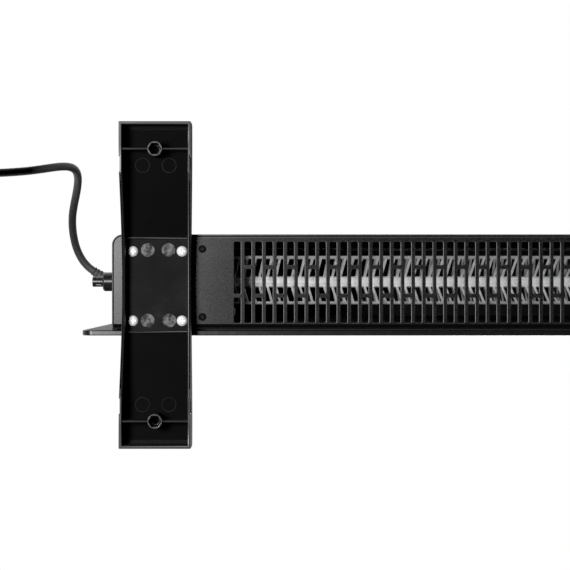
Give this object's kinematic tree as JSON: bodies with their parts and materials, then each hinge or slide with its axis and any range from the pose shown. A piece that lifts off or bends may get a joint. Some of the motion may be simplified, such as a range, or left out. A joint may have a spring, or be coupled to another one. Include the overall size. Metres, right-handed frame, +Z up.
{
  "type": "electric convector heater",
  "caption": "Glass-fronted electric convector heater on two moulded feet, with intake and outlet grilles, louvred aluminium element, side mains switch and mains lead.",
  "frame": {"origin": "middle of the heater's footprint on the floor, without the mains lead", "axes": "+X along the heater towards the side with the mains lead, +Y towards the wall behind, +Z up"},
  "size_m": [0.9805, 0.24, 0.4283],
  "materials": {
    "glass": "black back-painted toughened glass, polished face, ground edge",
    "gasket": "soft matte foam",
    "black_steel": "fine black powder coat, satin",
    "textured_steel": "fine textured black powder coat",
    "dark_steel": "heat-proof black paint, matte",
    "galvanised": "zinc-coated sheet",
    "foot_plastic": "moulded plastic, fine matte",
    "zinc_screw": "bright zinc plated",
    "black_screw": "black oxide",
    "element_aluminium": "bright bare aluminium",
    "steel_sheath": "drawn steel sheath",
    "ceramic": "unglazed steatite",
    "brass_tab": "stamped brass",
    "cast_weight": "cast, grey",
    "black_plastic": "moulded plastic, satin",
    "switch_gloss": "moulded plastic, polished",
    "sensor_gloss": "moulded plastic, polished",
    "circuit_board": "green solder mask",
    "component_plastic": "moulded component cases",
    "white_nylon": "natural nylon",
    "wire_sheath": "insulated wire",
    "wire_glass_sleeve": "glass-fibre sleeved wire",
    "cord_rubber": "matte PVC sheath",
    "tie_strap": "hook-and-loop strap",
    "plug_rubber": "moulded PVC, fine grain",
    "nickel_pin": "nickel-plated brass"
  },
  "bodies": {
    "heater": {"glass_panel": "glass", "glass_tape": "gasket", "front_panel": "black_steel", "rear_panel": "black_steel", "end_cap_right": "black_steel", "end_cap_left": "black_steel", "bottom_plate": "textured_steel", "top_grille": "textured_steel", "foot_right": "foot_plastic", "foot_left": "foot_plastic", "foot_screws_right": "zinc_screw", "foot_screws_left": "zinc_screw", "foot_nuts": "zinc_screw", "bottom_plate_screws": "black_screw", "rear_screws": "black_screw", "partition_right": "galvanised", "partition_left": "galvanised", "baffle_front": "dark_steel", "baffle_rear": "dark_steel", "deflector_front": "dark_steel", "deflector_rear": "dark_steel", "element_profile": "element_aluminium", "element_rod": "steel_sheath", "element_insulators": "ceramic", "thermal_cutout": "galvanised", "thermal_fuse": "brass_tab", "tip_switch_bracket": "galvanised", "tip_microswitch": "black_plastic", "control_board": "circuit_board", "board_components": "component_plastic", "board_standoffs": "white_nylon", "display_carrier": "black_plastic", "display_board": "circuit_board", "touch_pads": "gasket", "terminal_block": "white_nylon", "rocker_housing": "black_plastic", "switch_tabs": "brass_tab", "sensor_collar": "sensor_gloss", "sensor_cap": "sensor_gloss", "strain_relief": "cord_rubber", "lead_wires": "wire_sheath", "control_wires": "wire_sheath", "element_wires": "wire_glass_sleeve", "mains_cord": "cord_rubber", "cord_coil": "cord_rubber", "cord_tail": "cord_rubber", "cord_tie": "tie_strap", "mains_plug": "plug_rubber", "plug_pins": "nickel_pin"},
    "rocker": {"rocker": "switch_gloss"},
    "tilt_pendulum": {"tip_pendulum": "cast_weight"}
  },
  "joints": [
    {"name": "rocker_tilt", "type": "hinge", "parent": "heater", "child": "rocker", "pos_m": [0.377, 0.002, 0.14], "axis": [0, 1, 0], "range_deg": [-18, 0]},
    {"name": "tilt_swing", "type": "hinge", "parent": "heater", "child": "tilt_pendulum", "pos_m": [0.335, 0, 0.06], "axis": [1, 0, 0], "range_deg": [-30, 30]}
  ]
}
